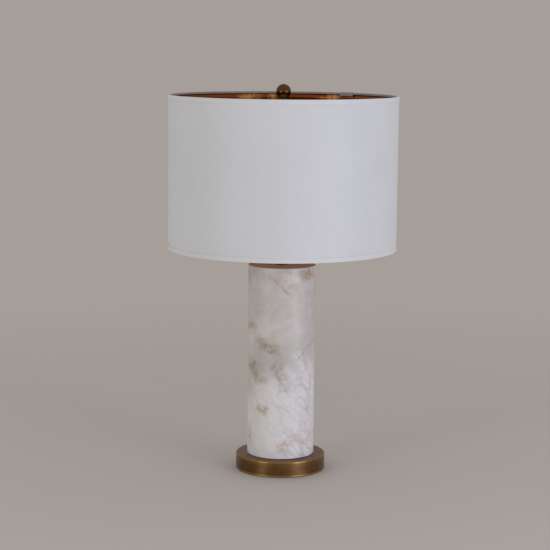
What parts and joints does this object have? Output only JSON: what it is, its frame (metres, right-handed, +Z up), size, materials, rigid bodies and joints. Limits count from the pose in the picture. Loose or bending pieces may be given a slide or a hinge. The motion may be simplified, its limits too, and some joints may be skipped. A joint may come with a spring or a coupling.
{
  "type": "table lamp",
  "caption": "Table lamp with a round stone column on a brass disc base, a white drum shade with a copper lining on a harp, and a ball finial.",
  "frame": {"origin": "centre of the base's underside, on the lamp's axis", "axes": "+Z up along the column, -Y towards the front and the switch knob, +Y towards the cord bushing, +X to the right seen from the front"},
  "size_m": [0.381, 0.381, 0.645],
  "materials": {
    "felt": "matt pressed felt",
    "iron": "as-cast grey",
    "antique_brass": "brushed antique, dark, with worn bright edges",
    "bushing_black": "moulded, satin",
    "steel": "zinc plated",
    "gasket_rubber": "matt",
    "alabaster": "polished, white with grey clouds and brown veins",
    "dark_brass": "polished antique",
    "harp_brass": "satin plated",
    "socket_brass": "spun, satin",
    "fibre": "pressed fibre",
    "core_black": "moulded phenolic",
    "terminal_metal": "plated",
    "thread_metal": "bright drawn",
    "contact_brass": "bright",
    "knob_black": "glossy moulded",
    "bulb_insulation": "vitrified, glossy",
    "bulb_glass": "frosted white",
    "shade_cloth": "fine white sateen",
    "shade_foil": "brushed copper laminate",
    "ring_metal": "plated wire",
    "shade_trim": "folded cloth tape"
  },
  "bodies": {
    "stand": {"felt_pad": "felt", "base_weight": "iron", "base_cover": "antique_brass", "cord_bushing": "bushing_black", "clamp_washer": "steel", "lock_washer": "steel", "pipe_nut": "steel", "threaded_pipe": "steel", "column_gasket": "gasket_rubber", "stone_column": "alabaster", "neck": "dark_brass", "harp_saddle": "harp_brass", "harp_loop": "harp_brass", "harp_stud": "harp_brass", "socket_cap": "socket_brass", "cap_set_screw": "steel", "socket_shell": "socket_brass", "socket_sleeve": "fibre", "socket_core": "core_black", "terminal_screws": "terminal_metal", "socket_screw_shell": "thread_metal", "socket_center_contact": "contact_brass"},
    "switch": {"switch_shaft": "socket_brass", "switch_knob": "knob_black"},
    "bulb_lift": {"bulb_contact": "thread_metal"},
    "bulb": {"bulb_insulator": "bulb_insulation", "bulb_cap": "thread_metal", "bulb_glass": "bulb_glass"},
    "ferrule_left": {"harp_ferrule_left": "harp_brass"},
    "ferrule_right": {"harp_ferrule_right": "harp_brass"},
    "shade": {"shade_fabric": "shade_cloth", "shade_lining": "shade_foil", "shade_top_ring": "ring_metal", "shade_bottom_ring": "ring_metal", "top_trim": "shade_trim", "bottom_trim": "shade_trim", "trim_lap": "shade_trim", "spider_hub": "ring_metal", "spider_arms": "ring_metal"},
    "finial_lift": {"finial_insert": "contact_brass"},
    "finial": {"finial_collar": "dark_brass", "finial_ball": "dark_brass"}
  },
  "joints": [
    {"name": "switch_turn", "type": "hinge", "parent": "stand", "child": "switch", "pos_m": [0, -0.02, 0.4095], "axis": [0, -1, 0], "continuous": true},
    {"name": "bulb_rise", "type": "slide", "parent": "stand", "child": "bulb_lift", "axis": [0, 0, 1], "range_m": [0, 0.01452]},
    {"name": "bulb_turn", "type": "hinge", "parent": "bulb_lift", "child": "bulb", "pos_m": [0, 0, 0.43], "axis": [0, 0, 1], "range_deg": [0, 1440]},
    {"name": "ferrule_left_slide", "type": "slide", "parent": "stand", "child": "ferrule_left", "axis": [0, 0, 1], "range_m": [0, 0.013]},
    {"name": "ferrule_right_slide", "type": "slide", "parent": "stand", "child": "ferrule_right", "axis": [0, 0, 1], "range_m": [0, 0.013]},
    {"name": "shade_turn", "type": "hinge", "parent": "stand", "child": "shade", "pos_m": [0, 0, 0.6126], "axis": [0, 0, 1], "continuous": true},
    {"name": "finial_rise", "type": "slide", "parent": "stand", "child": "finial_lift", "axis": [0, 0, 1], "range_m": [0, 0.00847]},
    {"name": "finial_turn", "type": "hinge", "parent": "finial_lift", "child": "finial", "pos_m": [0, 0, 0.62], "axis": [0, 0, 1], "range_deg": [0, 3240]}
  ],
  "couplings": [
    {"joint": "bulb_rise", "follows": "bulb_turn", "m_per_rad": 0.0005775},
    {"joint": "finial_rise", "follows": "finial_turn", "m_per_rad": 0.00014972}
  ]
}
